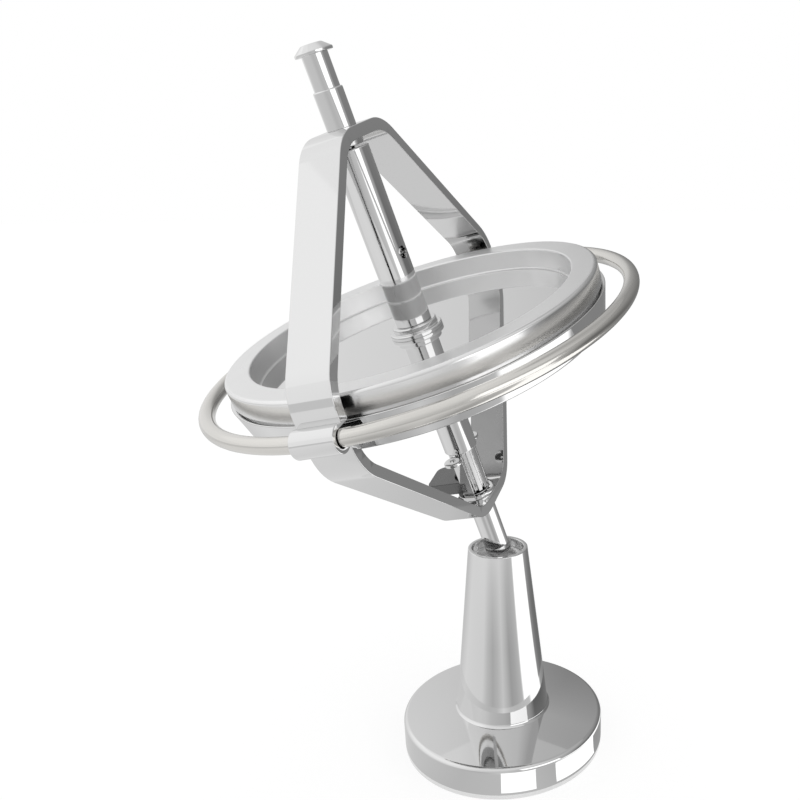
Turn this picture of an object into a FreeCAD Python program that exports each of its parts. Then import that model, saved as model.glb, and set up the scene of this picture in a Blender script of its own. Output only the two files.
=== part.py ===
import FreeCAD, Part
import math
import os
import re
import Sketcher

os.makedirs("parts", exist_ok=True)

# Desk gyroscope leaning on its stand. Millimetres and degrees, +Z up.
# The origin is the centre of the stand's flat underside.
# The gyroscope's pieces are drawn about the centre of its ring, with +Z along
# the spin axis and +X towards one leg of the frame, and are then placed on the stand.

SIZES = {
    # Stand: a heavy round base, a conical pillar with a cup, and the stud between them
    "base_radius": 17.0,
    "base_height": 5.55,
    "base_top_rise": 1.1,
    "base_edge_round": 0.8,
    "base_foot_chamfer": 0.3,
    "pillar_height": 28.95,
    "pillar_foot_radius": 7.75,
    "pillar_top_radius": 4.85,
    "pillar_foot_flare": 0.35,
    "cup_radius": 4.2,
    "cup_depth": 2.15,
    "cup_floor_round": 0.8,
    "stud_radius": 1.5,
    "stud_length": 9.0,
    "stud_in_base": 3.5,
    "stud_end_gap": 0.2,
    # Pose on the stand
    "lean_angle": 18.68,
    "heading_angle": 209.74,
    "frame_turn_angle": -140.9,
    # Tip ball and the foot stub that it carries
    "tip_radius": 2.1,
    "tip_clearance": 0.05,
    "foot_reach": 9.23,
    "foot_radius": 2.0,
    "foot_journal_radius": 1.3,
    "foot_running_gap": 0.05,
    # Frame band: one flat strip bent to a loop round the rotor
    "band_width": 5.95,
    "band_thickness": 1.6,
    "frame_half_height": 28.6,
    "apex_half_width": 6.0,
    "waist_half_height": 5.0,
    "apex_flat_margin": 0.05,
    "waist_round": 7.5,
    # Wire ring and the two clamps of the band that hold it
    "ring_radius": 31.0,
    "wire_radius": 1.08,
    "wire_clearance": 0.02,
    "clamp_wall": 0.68,
    "clamp_offset": 1.0,
    # Top boss and the pin with its button head
    "boss_radius": 1.93,
    "boss_height": 4.7,
    "pin_radius": 1.68,
    "press_clearance": 0.01,
    "neck_length": 4.1,
    "button_radius": 2.45,
    "button_edge_height": 0.35,
    "button_top_radius": 1.35,
    "button_height": 1.15,
    # Pivot bushes that the axle's points run in
    "bush_radius": 2.1,
    "bush_height": 0.7,
    "end_gap": 0.3,
    "point_clearance": 0.1,
    # Axle, sleeves and collar of the rotor
    "axle_radius": 0.8,
    "sleeve_radius": 2.55,
    "sleeve_edge_chamfer": 0.15,
    "cross_hole_radius": 0.8,
    "cross_hole_height": 9.9,
    "cross_hole_angle": -13.4,
    "collar_flange_radius": 3.8,
    "collar_flange_height": 0.65,
    "collar_neck_radius": 3.2,
    "collar_neck_height": 0.8,
    "nut_width": 5.5,
    "nut_height": 1.5,
    "lower_sleeve_radius": 2.55,
    # Drive pinion for a toothed pull strip
    "pinion_length": 7.1,
    "pinion_tip_radius": 2.2,
    "pinion_root_radius": 1.7,
    "pinion_teeth": 12,
    "gap_root_width": 0.3,
    "gap_tip_width": 0.8,
    "cut_overrun": 0.5,
    # Flywheel: a disc with a skirt, and a heavy rim pressed on it
    "plate_top": 0.5,
    "plate_thickness": 1.6,
    "ring_to_ledge": 3.5,
    "ledge_width": 0.43,
    "skirt_taper": 1.1,
    "skirt_depth": 4.5,
    "skirt_wall": 4.7,
    "skirt_edge_chamfer": 0.4,
    "rim_width": 3.67,
    "rim_height": 3.14,
    "rim_edge_round": 0.55,
    "rim_bore_chamfer": 0.25,
    "rebate_height": 0.3,
    "rebate_depth": 0.45,
    # Strip guide: two posts, each with an ear, and a shelf that keep the strip on the pinion
    "guide_turn_angle": 90.0,
    "guide_foot_radius": 2.9,
    "guide_foot_height": 0.6,
    "guide_post_width": 1.7,
    "guide_post_thickness": 0.4,
    "guide_sleeve_gap": 0.15,
    "guide_running_gap": 0.3,
    "ear_radius": 1.4,
    "ear_offset": 3.9,
    "ear_thickness": 0.5,
    "ear_hole_radius": 0.4,
    "shelf_half_width": 2.9,
    "shelf_reach": 6.6,
    "shelf_rise": 2.3,
    "shelf_thickness": 1.2,
    "shelf_corner_round": 1.2,
}

doc = FreeCAD.newDocument("gyroscope")
sheet = doc.addObject("Spreadsheet::Sheet", "sizes")
for row, (alias, number) in enumerate(SIZES.items(), start=1):
    sheet.set("A%d" % row, alias)
    sheet.set("B%d" % row, str(number))
    sheet.setAlias("B%d" % row, alias)
doc.recompute()

# Heights and widths that follow from the sizes, as expressions of them
PIVOT_TO_RING = "(frame_half_height + foot_reach)"
HALF_SPAN = "(ring_radius - clamp_offset)"
LEDGE_RADIUS = "(ring_radius - ring_to_ledge)"
SKIRT_RADIUS = "(ring_radius - ring_to_ledge - skirt_taper)"
SKIRT_BORE = "(ring_radius - ring_to_ledge - skirt_wall)"
RIM_RADIUS = "(ring_radius - ring_to_ledge - ledge_width)"
RIM_BORE = "(ring_radius - ring_to_ledge - ledge_width - rim_width)"
PILLAR_FOOT = "base_height + base_top_rise"
PIVOT_HEIGHT = "base_height + base_top_rise + pillar_height - cup_depth + tip_radius + tip_clearance"
SLOPE = "atan((frame_half_height - waist_half_height) / (ring_radius - clamp_offset - apex_half_width))"
APEX_ROUND = "((apex_half_width - guide_foot_radius - apex_flat_margin) / tan(%s / 2))" % SLOPE
APEX_INSIDE = "(frame_half_height - band_thickness)"
AXLE_END = "(frame_half_height - band_thickness - bush_height - end_gap)"
SLEEVE_FOOT = "(plate_top + collar_flange_height + collar_neck_height)"
PLATE_UNDERSIDE = "(plate_top - plate_thickness)"
NUT_UNDERSIDE = "(plate_top - plate_thickness - nut_height)"
PINION_TOP = "(pinion_length - (frame_half_height - band_thickness - bush_height - end_gap))"
GUIDE_BORE = "(pinion_tip_radius + guide_running_gap)"
GUIDE_TOP = PINION_TOP[:-1] + " - guide_sleeve_gap)"


def size(expression):
    """Value of an expression of the sheet's sizes."""
    return float(sheet.evalExpression(expression))


def bind(item, target, expression):
    """Drive one property or constraint from the sheet."""
    item.setExpression(target, re.sub(r"\b([a-z]\w*)\b(?!\()", r"sizes.\1", expression))


def gyro_placement():
    """Place of the ring's centre, with the spin axis leaning from the pivot."""
    lean = FreeCAD.Rotation(FreeCAD.Vector(0, 1, 0), size("lean_angle"))
    heading = FreeCAD.Rotation(FreeCAD.Vector(0, 0, 1), size("heading_angle"))
    turn = FreeCAD.Rotation(FreeCAD.Vector(0, 0, 1), size("frame_turn_angle"))
    rotation = heading.multiply(lean).multiply(turn)
    pivot = FreeCAD.Vector(0, 0, size(PIVOT_HEIGHT))
    centre = pivot + rotation.multVec(FreeCAD.Vector(0, 0, size(PIVOT_TO_RING)))
    return FreeCAD.Placement(centre, rotation)


ON_STAND = FreeCAD.Placement()
IN_GYRO = gyro_placement()


def origin_plane(body, role):
    return next(item for item in body.Origin.OriginFeatures if item.Role == role)


def outline(body, name, role, points):
    """Closed sketch on an origin plane: each corner is a pair of expressions."""
    sketch = body.newObject("Sketcher::SketchObject", name)
    sketch.AttachmentSupport = (origin_plane(body, role), [""])
    sketch.MapMode = "FlatFace"
    spots = [FreeCAD.Vector(size(across), size(up), 0) for across, up in points]
    for number, spot in enumerate(spots):
        sketch.addGeometry(Part.LineSegment(spot, spots[(number + 1) % len(spots)]), False)
    for number, (across, up) in enumerate(points):
        before = (number - 1) % len(points)
        sketch.addConstraint(Sketcher.Constraint("Coincident", before, 2, number, 1))
        for kind, expression in (("DistanceX", across), ("DistanceY", up)):
            item = Sketcher.Constraint(kind, -1, 1, number, 1, size(expression))
            bind(sketch, "Constraints[%d]" % sketch.addConstraint(item), expression)
    return sketch


def turned(name, points, placement):
    """Body of revolution about its own Z axis from radius and height pairs."""
    body = doc.addObject("PartDesign::Body", name)
    profile = outline(body, name + "_profile", "XZ_Plane", points)
    turn = body.newObject("PartDesign::Revolution", name + "_turn")
    turn.Profile = profile
    turn.ReferenceAxis = (profile, ["V_Axis"])
    turn.Angle = 360
    body.Placement = placement
    doc.recompute()
    return body


def round_edges(body, kind, radius, wanted):
    """Fillet or chamfer the edges of the body's tip that the test picks."""
    base = body.Tip
    names = ["Edge%d" % (number + 1) for number, edge in enumerate(base.Shape.Edges) if wanted(edge)]
    dress = body.newObject("PartDesign::" + kind, body.Name + "_" + kind.lower())
    dress.Base = (base, names)
    bind(dress, "Radius" if kind == "Fillet" else "Size", radius)
    doc.recompute()


def near(first, second):
    return math.isclose(first, second, abs_tol=1e-5)


def circle_at(radius, height):
    """Test for a round edge of a given radius at a given height in the body's own frame."""
    def wanted(edge):
        if not isinstance(edge.Curve, Part.Circle):
            return False
        return near(edge.Curve.Radius, size(radius)) and near(edge.Curve.Center.z, size(height))
    return wanted


def upright_at(across, height):
    """Test for a straight edge along Y at a given distance from the axis and height."""
    def wanted(edge):
        middle = edge.CenterOfMass
        along_y = isinstance(edge.Curve, Part.Line) and near(abs(edge.Curve.Direction.y), 1)
        return along_y and near(abs(middle.x), size(across)) and near(abs(middle.z), size(height))
    return wanted


def make_stand_base():
    """Round base, its top rising a little towards the pillar."""
    hole_floor = PILLAR_FOOT + " - stud_in_base - stud_end_gap"
    body = turned("stand_base", [
        ("0", "0"),
        ("base_radius", "0"),
        ("base_radius", "base_height"),
        ("pillar_foot_radius + pillar_foot_flare", PILLAR_FOOT),
        ("stud_radius", PILLAR_FOOT),
        ("stud_radius", hole_floor),
        ("0", hole_floor),
    ], ON_STAND)
    round_edges(body, "Fillet", "base_edge_round", circle_at("base_radius", "base_height"))
    round_edges(body, "Chamfer", "base_foot_chamfer", circle_at("base_radius", "0"))


def make_stand_pillar():
    top = PILLAR_FOOT + " + pillar_height"
    hole_top = PILLAR_FOOT + " + stud_length - stud_in_base + stud_end_gap"
    body = turned("stand_pillar", [
        ("stud_radius", PILLAR_FOOT),
        ("pillar_foot_radius + pillar_foot_flare", PILLAR_FOOT),
        ("pillar_foot_radius", PILLAR_FOOT + " + pillar_foot_flare"),
        ("pillar_top_radius", top),
        ("cup_radius", top),
        ("cup_radius", top + " - cup_depth"),
        ("0", top + " - cup_depth"),
        ("0", hole_top),
        ("stud_radius", hole_top),
    ], ON_STAND)
    round_edges(body, "Fillet", "cup_floor_round", circle_at("cup_radius", top + " - cup_depth"))


def make_stand_stud():
    stud = doc.addObject("Part::Cylinder", "stand_stud")
    bind(stud, "Radius", "stud_radius")
    bind(stud, "Height", "stud_length")
    bind(stud, "Placement.Base.z", PILLAR_FOOT + " - stud_in_base")


def make_tip_ball():
    ball = doc.addObject("Part::Sphere", "tip_ball")
    bind(ball, "Radius", "tip_radius")
    bind(ball, "Placement.Base.z", PIVOT_HEIGHT)


def make_foot_stub():
    """Stub from the frame's lower apex to the ball, hollowed to sit on the ball."""
    shoulder = "(-frame_half_height - foot_running_gap)"
    blank = doc.addObject("Part::Cylinder", "foot_blank")
    bind(blank, "Radius", "foot_radius")
    bind(blank, "Height", PIVOT_TO_RING + " + " + shoulder)
    bind(blank, "Placement.Base.z", "-" + PIVOT_TO_RING)
    journal = doc.addObject("Part::Cylinder", "foot_journal")
    bind(journal, "Radius", "foot_journal_radius")
    bind(journal, "Height", "band_thickness")
    bind(journal, "Placement.Base.z", shoulder)
    seat = doc.addObject("Part::Sphere", "foot_seat")
    bind(seat, "Radius", "tip_radius + tip_clearance")
    bind(seat, "Placement.Base.z", "-" + PIVOT_TO_RING)
    whole = doc.addObject("Part::Fuse", "foot_whole")
    whole.Base = blank
    whole.Tool = journal
    stub = doc.addObject("Part::Cut", "foot_stub")
    stub.Base = whole
    stub.Tool = seat
    stub.Placement = IN_GYRO


def octagon(inset):
    """Corners of the frame's loop, moved inwards by a share of the strip's thickness."""
    flat = "(apex_half_width - %s * tan(%s / 2))" % (inset, SLOPE)
    side = "(waist_half_height - %s * (1 - sin(%s)) / cos(%s))" % (inset, SLOPE, SLOPE)
    top = "(frame_half_height - %s)" % inset
    span = "(%s - %s)" % (HALF_SPAN, inset)
    upper = [(flat, top), (span, side)]
    corners = upper + [(across, "-" + up) for across, up in reversed(upper)]
    return corners + [("-" + across, up) for across, up in reversed(corners)]


def pad(body, name, sketch, width):
    block = body.newObject("PartDesign::Pad", name)
    block.Profile = sketch
    block.SideType = "Symmetric"
    bind(block, "Length", width)
    doc.recompute()
    return block


def pocket(body, name, sketch):
    cut = body.newObject("PartDesign::Pocket", name)
    cut.Profile = sketch
    cut.Type = "ThroughAll"
    cut.SideType = "Symmetric"
    doc.recompute()
    return cut


def circles(body, name, role, radius, places):
    """Sketch of equal circles: each centre is a pair of expressions."""
    sketch = body.newObject("Sketcher::SketchObject", name)
    sketch.AttachmentSupport = (origin_plane(body, role), [""])
    sketch.MapMode = "FlatFace"
    for number, (across, up) in enumerate(places):
        centre = FreeCAD.Vector(size(across), size(up), 0)
        sketch.addGeometry(Part.Circle(centre, FreeCAD.Vector(0, 0, 1), size(radius)), False)
        for kind, expression in (("DistanceX", across), ("DistanceY", up)):
            item = Sketcher.Constraint(kind, -1, 1, number, 3, size(expression))
            bind(sketch, "Constraints[%d]" % sketch.addConstraint(item), expression)
        item = Sketcher.Constraint("Radius", number, size(radius))
        bind(sketch, "Constraints[%d]" % sketch.addConstraint(item), radius)
    return sketch


def cut_loop(body):
    """Loop of flat strip, each apex flat as far as the guide's foot and then bent round."""
    pad(body, "band_outside", outline(body, "band_outline", "XZ_Plane", octagon("0")), "band_width")
    pocket(body, "band_window", outline(body, "window_outline", "XZ_Plane", octagon("band_thickness")))
    inside_corners = octagon("band_thickness")
    round_edges(body, "Fillet", APEX_ROUND, upright_at("apex_half_width", "frame_half_height"))
    round_edges(body, "Fillet", "waist_round", upright_at(HALF_SPAN, "waist_half_height"))
    round_edges(body, "Fillet", APEX_ROUND + " - band_thickness", upright_at(*inside_corners[0]))
    round_edges(body, "Fillet", "waist_round - band_thickness", upright_at(*inside_corners[1]))


def add_clamps(body):
    """Bulge on each side, with a seat for the wire that is open towards the rotor."""
    seat = "(wire_radius + wire_clearance)"
    mouth_end = "(%s - band_thickness - cut_overrun)" % HALF_SPAN
    sides = (("ring_radius", "0"), ("-ring_radius", "0"))
    bulges = circles(body, "clamp_outline", "XZ_Plane", seat + " + clamp_wall", sides)
    pad(body, "clamps", bulges, "band_width")
    pocket(body, "wire_seats", circles(body, "seat_outline", "XZ_Plane", seat, sides))
    for sign in ("", "-"):
        mouth = outline(body, "mouth_outline", "XZ_Plane", [
            (sign + "ring_radius", seat),
            (sign + "ring_radius", "-" + seat),
            (sign + mouth_end, "-" + seat),
            (sign + mouth_end, seat),
        ])
        pocket(body, "wire_mouth", mouth)


def drill_apex(body, name, radius, upper):
    hole = body.newObject("PartDesign::Pocket", name)
    hole.Profile = circles(body, name + "_outline", "XY_Plane", radius, [("0", "0")])
    hole.Reversed = upper
    bind(hole, "Length", "frame_half_height + cut_overrun")
    doc.recompute()


def make_frame_band():
    """Strip bent to a loop, with clamps for the wire ring and a hole in each apex."""
    body = doc.addObject("PartDesign::Body", "frame_band")
    cut_loop(body)
    add_clamps(body)
    drill_apex(body, "pin_hole", "pin_radius + press_clearance", True)
    drill_apex(body, "foot_hole", "foot_journal_radius + foot_running_gap", False)
    body.Placement = IN_GYRO


def make_wire_ring():
    ring = doc.addObject("Part::Torus", "wire_ring")
    bind(ring, "Radius1", "ring_radius")
    bind(ring, "Radius2", "wire_radius")
    ring.Placement = IN_GYRO


def make_top_boss():
    bore = "pin_radius + press_clearance"
    top = "frame_half_height + boss_height"
    turned("top_boss", [
        (bore, "frame_half_height"),
        ("boss_radius", "frame_half_height"),
        ("boss_radius", top),
        (bore, top),
    ], IN_GYRO)


def make_top_pin():
    """Pin through the boss and the upper apex, with a bevelled button head."""
    neck_top = "frame_half_height + boss_height + neck_length"
    turned("top_pin", [
        ("0", APEX_INSIDE),
        ("pin_radius", APEX_INSIDE),
        ("pin_radius", neck_top),
        ("button_radius", neck_top),
        ("button_radius", neck_top + " + button_edge_height"),
        ("button_top_radius", neck_top + " + button_height"),
        ("0", neck_top + " + button_height"),
    ], IN_GYRO)


def bush_outline(side):
    """Bush on the inside of an apex, with a conical seat for the axle's point."""
    face = "(frame_half_height - band_thickness - bush_height)"
    seat_tip = "(%s + axle_radius + point_clearance)" % AXLE_END
    return [
        ("0", side + seat_tip),
        ("axle_radius + point_clearance - end_gap", side + face),
        ("bush_radius", side + face),
        ("bush_radius", side + APEX_INSIDE),
        ("0", side + APEX_INSIDE),
    ]


def make_bushes():
    turned("upper_bush", bush_outline(""), IN_GYRO)
    turned("lower_bush", bush_outline("-"), IN_GYRO)


def make_shelf():
    """Tongue beside the pinion that the strip slides on, with round corners at its end."""
    height = "shelf_rise - " + APEX_INSIDE
    tongue = doc.addObject("Part::Box", "tongue")
    bind(tongue, "Length", "2 * shelf_half_width")
    bind(tongue, "Width", "shelf_reach - shelf_corner_round")
    bind(tongue, "Height", "shelf_thickness")
    end = doc.addObject("Part::Box", "tongue_end")
    bind(end, "Length", "2 * (shelf_half_width - shelf_corner_round)")
    bind(end, "Width", "shelf_reach")
    bind(end, "Height", "shelf_thickness")
    bind(tongue, "Placement.Base.x", "-shelf_half_width")
    bind(end, "Placement.Base.x", "shelf_corner_round - shelf_half_width")
    pieces = [tongue, end]
    for word, sign in (("near", "-"), ("far", "")):
        corner = doc.addObject("Part::Cylinder", word + "_corner")
        bind(corner, "Radius", "shelf_corner_round")
        bind(corner, "Height", "shelf_thickness")
        bind(corner, "Placement.Base.x", sign + "(shelf_half_width - shelf_corner_round)")
        bind(corner, "Placement.Base.y", "shelf_reach - shelf_corner_round")
        pieces.append(corner)
    for piece in pieces:
        bind(piece, "Placement.Base.z", height)
    blank = doc.addObject("Part::MultiFuse", "shelf_blank")
    blank.Shapes = pieces
    bore = doc.addObject("Part::Cylinder", "shelf_bore")
    bind(bore, "Radius", GUIDE_BORE)
    bind(bore, "Height", "shelf_thickness")
    bind(bore, "Placement.Base.z", height)
    shelf = doc.addObject("Part::Cut", "shelf")
    shelf.Base = blank
    shelf.Tool = bore
    return shelf


def make_strip_guide():
    """Foot round the lower bush, two posts beside the pinion, an ear on each, and a shelf."""
    foot = turned("guide_foot", [
        ("bush_radius + press_clearance", "-" + APEX_INSIDE),
        ("guide_foot_radius", "-" + APEX_INSIDE),
        ("guide_foot_radius", "guide_foot_height - " + APEX_INSIDE),
        ("bush_radius + press_clearance", "guide_foot_height - " + APEX_INSIDE),
    ], ON_STAND)
    ears = []
    holes = []
    posts = []
    for word, sign in (("front", "-"), ("rear", "")):
        ear = doc.addObject("Part::Cylinder", word + "_ear")
        bind(ear, "Radius", "ear_radius")
        hole = doc.addObject("Part::Cylinder", word + "_ear_hole")
        bind(hole, "Radius", "ear_hole_radius")
        for item in (ear, hole):
            bind(item, "Height", "ear_thickness")
            bind(item, "Placement.Base.y", sign + "ear_offset")
            bind(item, "Placement.Base.z", GUIDE_TOP + " - ear_thickness")
        ears.append(ear)
        holes.append(hole)
        post = doc.addObject("Part::Box", word + "_post")
        bind(post, "Length", "guide_post_width")
        bind(post, "Width", "guide_post_thickness")
        bind(post, "Height", GUIDE_TOP + " + " + APEX_INSIDE)
        bind(post, "Placement.Base.x", "-guide_post_width / 2")
        edge = "-guide_foot_radius" if sign else "guide_foot_radius - guide_post_thickness"
        bind(post, "Placement.Base.y", edge)
        bind(post, "Placement.Base.z", "-" + APEX_INSIDE)
        posts.append(post)
    standing = doc.addObject("Part::MultiFuse", "guide_standing")
    standing.Shapes = [foot] + ears + posts
    bores = doc.addObject("Part::MultiFuse", "guide_holes")
    bores.Shapes = holes
    frame_part = doc.addObject("Part::Cut", "guide_frame")
    frame_part.Base = standing
    frame_part.Tool = bores
    bind(frame_part, "Placement.Rotation.Angle", "guide_turn_angle")
    guide = doc.addObject("Part::Fuse", "strip_guide")
    guide.Base = frame_part
    guide.Tool = make_shelf()
    guide.Placement = IN_GYRO


def make_rotor_disc():
    skirt_foot = "plate_top - skirt_depth"
    body = turned("rotor_disc", [
        ("axle_radius", PLATE_UNDERSIDE),
        ("axle_radius", "plate_top"),
        (LEDGE_RADIUS, "plate_top"),
        (SKIRT_RADIUS, skirt_foot),
        (SKIRT_BORE, skirt_foot),
        (SKIRT_BORE, PLATE_UNDERSIDE),
    ], IN_GYRO)
    round_edges(body, "Chamfer", "skirt_edge_chamfer", circle_at(SKIRT_RADIUS, skirt_foot))


def make_rotor_rim():
    """Heavy ring on the disc, with a rebate that leaves a dark line above the disc's ledge."""
    rim_top = "plate_top + rim_height"
    body = turned("rotor_rim", [
        (RIM_BORE, "plate_top"),
        (RIM_RADIUS + " - rebate_depth", "plate_top"),
        (RIM_RADIUS + " - rebate_depth", "plate_top + rebate_height"),
        (RIM_RADIUS, "plate_top + rebate_height"),
        (RIM_RADIUS, rim_top),
        (RIM_BORE, rim_top),
    ], IN_GYRO)
    round_edges(body, "Fillet", "rim_edge_round", circle_at(RIM_RADIUS, rim_top))
    round_edges(body, "Chamfer", "rim_bore_chamfer", circle_at(RIM_BORE, rim_top))


def make_rotor_axle():
    """Thin axle with a point at each end."""
    turned("rotor_axle", [
        ("0", "-(%s + axle_radius)" % AXLE_END),
        ("axle_radius", "-" + AXLE_END),
        ("axle_radius", AXLE_END),
        ("0", "%s + axle_radius" % AXLE_END),
    ], IN_GYRO)


def make_upper_sleeve():
    """Plain tube with one small cross hole above the plate, drilled from the side to the axle."""
    turn = FreeCAD.Placement(FreeCAD.Vector(), FreeCAD.Rotation(FreeCAD.Vector(0, 0, 1), size("cross_hole_angle")))
    body = turned("upper_sleeve", [
        ("axle_radius", SLEEVE_FOOT),
        ("sleeve_radius", SLEEVE_FOOT),
        ("sleeve_radius", AXLE_END),
        ("axle_radius", AXLE_END),
    ], IN_GYRO.multiply(turn))
    for end in (SLEEVE_FOOT, AXLE_END):
        round_edges(body, "Chamfer", "sleeve_edge_chamfer", circle_at("sleeve_radius", end))
    full = body.Shape.Volume
    spot = [("0", SLEEVE_FOOT + " + cross_hole_height")]
    hole = body.newObject("PartDesign::Pocket", "cross_hole")
    hole.Profile = circles(body, "cross_hole_outline", "XZ_Plane", "cross_hole_radius", spot)
    hole.Reversed = True
    bind(hole, "Length", "sleeve_radius + cut_overrun")
    doc.recompute()
    print("sleeve volume before and after drilling", round(full, 3), round(body.Shape.Volume, 3))


def make_hub_collar():
    turned("hub_collar", [
        ("axle_radius", "plate_top"),
        ("collar_flange_radius", "plate_top"),
        ("collar_flange_radius", "plate_top + collar_flange_height"),
        ("collar_neck_radius", "plate_top + collar_flange_height"),
        ("collar_neck_radius", SLEEVE_FOOT),
        ("axle_radius", SLEEVE_FOOT),
    ], IN_GYRO)


def make_hub_nut():
    """Hexagonal nut under the plate, clamping the disc to the hub collar."""
    nut = doc.addObject("Part::Prism", "nut_blank")
    nut.Polygon = 6
    bind(nut, "Circumradius", "nut_width / sqrt(3)")
    bind(nut, "Height", "nut_height")
    bind(nut, "Placement.Base.z", NUT_UNDERSIDE)
    bore = doc.addObject("Part::Cylinder", "nut_bore")
    bind(bore, "Radius", "axle_radius")
    bind(bore, "Height", "nut_height")
    bind(bore, "Placement.Base.z", NUT_UNDERSIDE)
    cut = doc.addObject("Part::Cut", "hub_nut")
    cut.Base = nut
    cut.Tool = bore
    cut.Placement = IN_GYRO


def make_lower_sleeve():
    turned("lower_sleeve", [
        ("axle_radius", PINION_TOP),
        ("lower_sleeve_radius", PINION_TOP),
        ("lower_sleeve_radius", NUT_UNDERSIDE),
        ("axle_radius", NUT_UNDERSIDE),
    ], IN_GYRO)


def make_drive_pinion():
    """Long pinion on the lower end of the axle."""
    body = turned("drive_pinion", [
        ("axle_radius", "-" + AXLE_END),
        ("pinion_tip_radius", "-" + AXLE_END),
        ("pinion_tip_radius", PINION_TOP),
        ("axle_radius", PINION_TOP),
    ], IN_GYRO)
    full = body.Shape.Volume
    gap = outline(body, "tooth_gap", "XY_Plane", [
        ("pinion_root_radius", "-gap_root_width / 2"),
        ("pinion_tip_radius + cut_overrun", "-gap_tip_width / 2"),
        ("pinion_tip_radius + cut_overrun", "gap_tip_width / 2"),
        ("pinion_root_radius", "gap_root_width / 2"),
    ])
    cut = pocket(body, "tooth_cut", gap)
    teeth = body.newObject("PartDesign::PolarPattern", "teeth")
    teeth.Originals = [cut]
    teeth.Axis = (gap, ["N_Axis"])
    teeth.Angle = 360
    bind(teeth, "Occurrences", "pinion_teeth")
    body.Tip = teeth
    doc.recompute()
    print("pinion volume before and after cutting", round(full, 3), round(body.Shape.Volume, 3))


NODES = [
    "stand_base", "stand_pillar", "stand_stud", "tip_ball", "foot_stub",
    "frame_band", "wire_ring", "top_boss", "top_pin", "upper_bush", "lower_bush", "strip_guide",
    "rotor_disc", "rotor_rim", "rotor_axle", "upper_sleeve", "hub_collar", "hub_nut",
    "lower_sleeve", "drive_pinion",
]

make_stand_base()
make_stand_pillar()
make_stand_stud()
make_tip_ball()
make_foot_stub()
make_frame_band()
make_wire_ring()
make_top_boss()
make_top_pin()
make_bushes()
make_strip_guide()
make_rotor_disc()
make_rotor_rim()
make_rotor_axle()
make_upper_sleeve()
make_hub_collar()
make_hub_nut()
make_lower_sleeve()
make_drive_pinion()
doc.recompute()

for item in doc.Objects:
    if "Invalid" in item.State or "Error" in item.State:
        raise RuntimeError("%s did not build: %s" % (item.Name, item.State))
for node in NODES:
    piece = doc.getObject(node)
    piece.Label = node
    if piece.Shape.isNull() or not piece.Shape.isValid():
        raise RuntimeError("%s has no valid shape" % node)
    print(node, len(piece.Shape.Solids), "solid, volume", round(piece.Shape.Volume, 2))
    piece.Shape.exportStep("parts/%s.step" % node)
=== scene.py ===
import math

import bmesh
import bpy
from mathutils import Matrix, Vector


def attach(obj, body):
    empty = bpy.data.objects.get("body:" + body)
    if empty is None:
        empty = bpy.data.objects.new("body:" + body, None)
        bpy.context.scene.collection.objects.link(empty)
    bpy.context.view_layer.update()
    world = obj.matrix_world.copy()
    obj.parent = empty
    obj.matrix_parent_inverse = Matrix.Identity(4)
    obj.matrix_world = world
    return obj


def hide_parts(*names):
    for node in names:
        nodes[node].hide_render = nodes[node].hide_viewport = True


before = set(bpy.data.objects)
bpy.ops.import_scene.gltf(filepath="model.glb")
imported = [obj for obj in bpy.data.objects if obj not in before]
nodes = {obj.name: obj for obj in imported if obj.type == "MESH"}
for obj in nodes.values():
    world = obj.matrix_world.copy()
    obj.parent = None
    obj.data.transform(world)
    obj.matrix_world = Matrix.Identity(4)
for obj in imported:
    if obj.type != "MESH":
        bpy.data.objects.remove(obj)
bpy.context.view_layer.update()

# Camera
# It stands close in front and a little above, with the object right of the lens axis.
# The frame is 800 pixels square, and the lens axis meets it at LENS_X, LENS_Y.
MM = 0.001
FRAME_SIDE = 800
LENS_X = 535.1
LENS_Y = 458.2
FOCAL_PIXELS = 824.55
SENSOR = 36
CAMERA_PLACE = Vector((-3.81, -124.84, 88.28))
CAMERA_PAN = -0.08124
CAMERA_TILT = -0.29364
CAMERA_ROLL = 0.01664
NEAREST_SEEN = 5
camera = bpy.data.objects.new("camera", bpy.data.cameras.new("camera"))
bpy.context.collection.objects.link(camera)
bpy.context.scene.camera = camera
bpy.context.scene.view_settings.view_transform = "Standard"
level_ahead = Matrix.Rotation(math.radians(90), 4, "X")
aim = (Matrix.Rotation(CAMERA_PAN, 4, "Z") @ Matrix.Rotation(CAMERA_TILT, 4, "X")
       @ Matrix.Rotation(CAMERA_ROLL, 4, "Y"))
camera.matrix_world = Matrix.Translation(CAMERA_PLACE * MM) @ aim @ level_ahead
camera.data.sensor_width = SENSOR
camera.data.lens = SENSOR * FOCAL_PIXELS / FRAME_SIDE
camera.data.shift_x = (FRAME_SIDE / 2 - LENS_X) / FRAME_SIDE
camera.data.shift_y = (LENS_Y - FRAME_SIDE / 2) / FRAME_SIDE
camera.data.clip_start = NEAREST_SEEN * MM


# White room
# A plain white paper floor in an even white room, so that chrome has white all round it.
# Seen directly or in a mirror the room is full white, and it lights matt things a little less.
def linear(colour):
    """sRGB hex text to the linear values that a socket takes."""
    channels = [int(colour[place:place + 2], 16) / 255 for place in (1, 3, 5)]
    return [c / 12.92 if c <= 0.04045 else ((c + 0.055) / 1.055) ** 2.4 for c in channels] + [1.0]


def add(tree, kind, links=(), **settings):
    """One node: settings go to its properties or sockets, links are (socket, output) pairs."""
    item = tree.nodes.new(kind)
    for name, value in settings.items():
        if hasattr(item, name):
            setattr(item, name, value)
        else:
            item.inputs[name.replace("_", " ")].default_value = value
    for socket, output in links:
        tree.links.new(output, item.inputs[socket])
    return item


def new_material(name):
    material = bpy.data.materials.new(name)
    material.use_nodes = True
    material.node_tree.nodes.clear()
    return material, material.node_tree


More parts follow.
